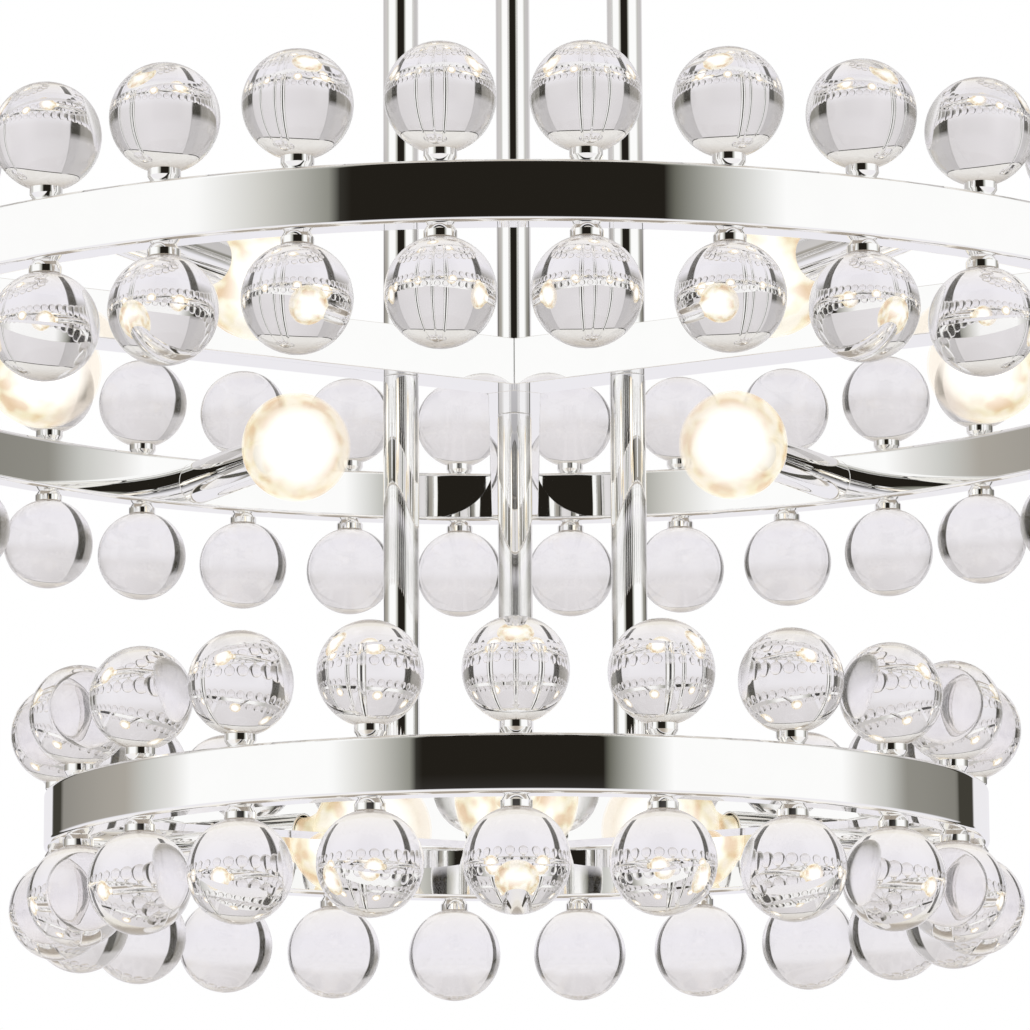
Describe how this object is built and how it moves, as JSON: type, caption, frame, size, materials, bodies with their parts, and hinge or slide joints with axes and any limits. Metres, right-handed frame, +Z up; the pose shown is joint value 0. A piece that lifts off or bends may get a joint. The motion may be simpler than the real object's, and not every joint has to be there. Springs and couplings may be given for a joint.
{
  "type": "ring chandelier",
  "caption": "Two-tier ring chandelier: clear balls stand above and below polished tube rings, hung by slim rods from a round ceiling canopy, with globe bulbs pointing inwards.",
  "frame": {"origin": "middle of the crossbar's top face, where it meets the ceiling box", "axes": "+Z up towards the ceiling, +Y to the back, +X to the right seen from the front"},
  "size_m": [0.787, 0.787, 0.7842],
  "materials": {
    "polished_nickel": "polished nickel plate",
    "zinc_plated_steel": "bright zinc",
    "clear_acrylic": "clear, polished",
    "frosted_glass": "frosted white",
    "bulb_cap_metal": "rolled thread",
    "white_phenolic": "moulded",
    "wire_insulation": "extruded",
    "brass": "drawn"
  },
  "bodies": {
    "chandelier_frame": {"ceiling_crossbar": "zinc_plated_steel", "canopy_studs": "zinc_plated_steel", "canopy_plate": "zinc_plated_steel", "rod_nipples": "zinc_plated_steel", "rod_lock_nuts": "zinc_plated_steel", "upper_socket_nipples": "zinc_plated_steel", "lower_socket_nipples": "zinc_plated_steel", "upper_socket_nuts": "zinc_plated_steel", "lower_socket_nuts": "zinc_plated_steel", "canopy": "polished_nickel", "canopy_knobs": "polished_nickel", "rod_seat_rings": "polished_nickel", "upper_ring": "polished_nickel", "lower_ring": "polished_nickel", "upper_socket_tubes": "polished_nickel", "lower_socket_tubes": "polished_nickel", "upper_top_standoffs": "polished_nickel", "upper_bottom_standoffs": "polished_nickel", "lower_top_standoffs": "polished_nickel", "lower_bottom_standoffs": "polished_nickel", "upper_rod_back": "polished_nickel", "lower_rod_back": "polished_nickel", "upper_arm_back": "polished_nickel", "lower_arm_back": "polished_nickel", "upper_rod_left": "polished_nickel", "lower_rod_left": "polished_nickel", "upper_arm_left": "polished_nickel", "lower_arm_left": "polished_nickel", "upper_rod_right": "polished_nickel", "lower_rod_right": "polished_nickel", "upper_arm_right": "polished_nickel", "lower_arm_right": "polished_nickel", "upper_top_balls": "clear_acrylic", "upper_bottom_balls": "clear_acrylic", "lower_top_balls": "clear_acrylic", "lower_bottom_balls": "clear_acrylic", "upper_lampholders": "white_phenolic", "lower_lampholders": "white_phenolic", "upper_wiring": "wire_insulation", "lower_wiring": "wire_insulation", "screw_shells": "brass", "centre_contacts": "brass"},
    "bulb_1": {"bulb_glass_1": "frosted_glass", "bulb_cap_1": "bulb_cap_metal"},
    "bulb_2": {"bulb_glass_2": "frosted_glass", "bulb_cap_2": "bulb_cap_metal"},
    "bulb_3": {"bulb_glass_3": "frosted_glass", "bulb_cap_3": "bulb_cap_metal"},
    "bulb_4": {"bulb_glass_4": "frosted_glass", "bulb_cap_4": "bulb_cap_metal"},
    "bulb_5": {"bulb_glass_5": "frosted_glass", "bulb_cap_5": "bulb_cap_metal"},
    "bulb_6": {"bulb_glass_6": "frosted_glass", "bulb_cap_6": "bulb_cap_metal"},
    "bulb_7": {"bulb_glass_7": "frosted_glass", "bulb_cap_7": "bulb_cap_metal"},
    "bulb_8": {"bulb_glass_8": "frosted_glass", "bulb_cap_8": "bulb_cap_metal"},
    "bulb_9": {"bulb_glass_9": "frosted_glass", "bulb_cap_9": "bulb_cap_metal"}
  },
  "joints": [
    {"name": "bulb_1_unscrew", "type": "hinge", "parent": "chandelier_frame", "child": "bulb_1", "pos_m": [0.12057, 0.20883, -0.48], "axis": [-0.5, -0.866, 0], "range_deg": [0, 1500]},
    {"name": "bulb_2_unscrew", "type": "hinge", "parent": "chandelier_frame", "child": "bulb_2", "pos_m": [-0.12057, 0.20883, -0.48], "axis": [0.5, -0.866, 0], "range_deg": [0, 1500]},
    {"name": "bulb_3_unscrew", "type": "hinge", "parent": "chandelier_frame", "child": "bulb_3", "pos_m": [-0.24113, 0, -0.48], "axis": [1, 0, 0], "range_deg": [0, 1500]},
    {"name": "bulb_4_unscrew", "type": "hinge", "parent": "chandelier_frame", "child": "bulb_4", "pos_m": [-0.12057, -0.20883, -0.48], "axis": [0.5, 0.866, 0], "range_deg": [0, 1500]},
    {"name": "bulb_5_unscrew", "type": "hinge", "parent": "chandelier_frame", "child": "bulb_5", "pos_m": [0.12057, -0.20883, -0.48], "axis": [-0.5, 0.866, 0], "range_deg": [0, 1500]},
    {"name": "bulb_6_unscrew", "type": "hinge", "parent": "chandelier_frame", "child": "bulb_6", "pos_m": [0.24113, 0, -0.48], "axis": [-1, 0, 0], "range_deg": [0, 1500]},
    {"name": "bulb_7_unscrew", "type": "hinge", "parent": "chandelier_frame", "child": "bulb_7", "pos_m": [0, -0.1, -0.715], "axis": [0, 1, 0], "range_deg": [0, 1500]},
    {"name": "bulb_8_unscrew", "type": "hinge", "parent": "chandelier_frame", "child": "bulb_8", "pos_m": [0.08661, 0.05, -0.715], "axis": [-0.866, -0.5, 0], "range_deg": [0, 1500]},
    {"name": "bulb_9_unscrew", "type": "hinge", "parent": "chandelier_frame", "child": "bulb_9", "pos_m": [-0.08661, 0.05, -0.715], "axis": [0.866, -0.5, 0], "range_deg": [0, 1500]}
  ]
}
